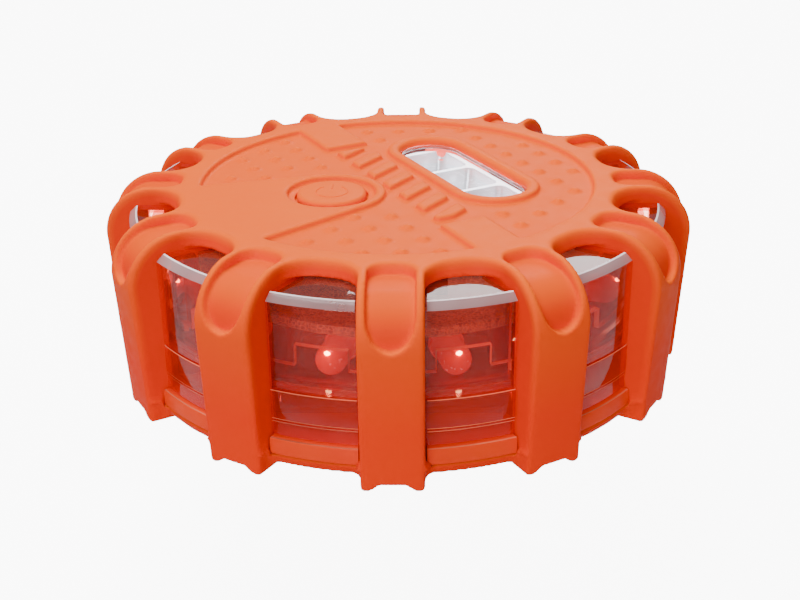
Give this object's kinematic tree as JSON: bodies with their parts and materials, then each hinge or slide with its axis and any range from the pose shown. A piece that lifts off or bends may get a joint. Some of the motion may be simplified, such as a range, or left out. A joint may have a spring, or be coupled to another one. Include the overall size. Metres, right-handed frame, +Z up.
{
  "type": "led road safety flare",
  "caption": "Puck-shaped LED road flare: clear battery lantern in an orange rubber cover with arms around its side windows, a torch window and button on top, a magnet and folding hook below",
  "frame": {"origin": "on the ground under the middle of the flare, with the flare lying flat on its feet", "axes": "+Z up out of the face with the button and the torch window; one arm of the rubber cover points along -Y, and the hook's hinge axis is parallel to X"},
  "size_m": [0.102, 0.102, 0.0325],
  "materials": {
    "orange_rubber": "soft satin moulded rubber",
    "clear_plastic": "clear polycarbonate",
    "orange_plastic": "semi-gloss moulded",
    "black_plastic": "fine textured",
    "white_plastic": "smooth moulded",
    "seal_rubber": "matte",
    "board_laminate": "solder mask over laminate",
    "red_lamp": "clear red epoxy",
    "white_lamp": "phosphor under clear epoxy",
    "reflector_chrome": "vacuum-metallised",
    "battery_jacket": "printed sleeve without lettering",
    "capacitor_sleeve": "shrink sleeve",
    "magnet_nickel": "nickel-plated",
    "steel": "zinc-plated"
  },
  "bodies": {
    "flare_body": {"base_plate": "orange_plastic", "battery_1": "battery_jacket", "battery_2": "battery_jacket", "battery_3": "battery_jacket", "battery_cover": "orange_plastic", "battery_cover_screw_1": "steel", "battery_cover_screw_2": "steel", "battery_cover_seal": "seal_rubber", "battery_spring_1": "steel", "battery_spring_2": "steel", "battery_spring_3": "steel", "battery_tray": "orange_plastic", "board_screw_1": "steel", "board_screw_2": "steel", "board_screw_3": "steel", "capacitor": "capacitor_sleeve", "circuit_board": "board_laminate", "contact_plate_1": "steel", "contact_plate_2": "steel", "contact_plate_3": "steel", "driver_chip": "black_plastic", "housing_screw_1": "steel", "housing_screw_2": "steel", "housing_screw_3": "steel", "housing_screw_4": "steel", "housing_seal": "seal_rubber", "lower_housing": "clear_plastic", "magnet": "magnet_nickel", "red_led_01": "red_lamp", "red_led_02": "red_lamp", "red_led_03": "red_lamp", "red_led_04": "red_lamp", "red_led_05": "red_lamp", "red_led_06": "red_lamp", "red_led_07": "red_lamp", "red_led_08": "red_lamp", "red_led_09": "red_lamp", "red_led_10": "red_lamp", "red_led_11": "red_lamp", "red_led_12": "red_lamp", "rubber_cover": "orange_rubber", "tact_switch": "black_plastic", "torch_led_1": "white_lamp", "torch_led_2": "white_lamp", "torch_led_3": "white_lamp", "torch_lens": "clear_plastic", "torch_reflector": "reflector_chrome", "upper_housing": "clear_plastic"},
    "power_button": {"power_button": "orange_rubber", "button_plunger": "white_plastic"},
    "switch_stem": {"tact_switch_stem": "white_plastic"},
    "hanging_hook": {"hanging_hook": "steel"}
  },
  "joints": [
    {"name": "button_press", "type": "slide", "parent": "flare_body", "child": "power_button", "axis": [0, 0, -1], "range_m": [0, 0.0006], "stiffness_N_per_m": 1500, "springref_m": -0.0005},
    {"name": "switch_stem_press", "type": "slide", "parent": "flare_body", "child": "switch_stem", "axis": [0, 0, -1], "range_m": [0, 0.00025]},
    {"name": "hook_fold", "type": "hinge", "parent": "flare_body", "child": "hanging_hook", "pos_m": [0, 0.0225, 0.00175], "axis": [1, 0, 0], "range_deg": [0, 115]}
  ],
  "couplings": [
    {"joint": "switch_stem_press", "follows": "button_press", "ratio": 0.4166}
  ]
}
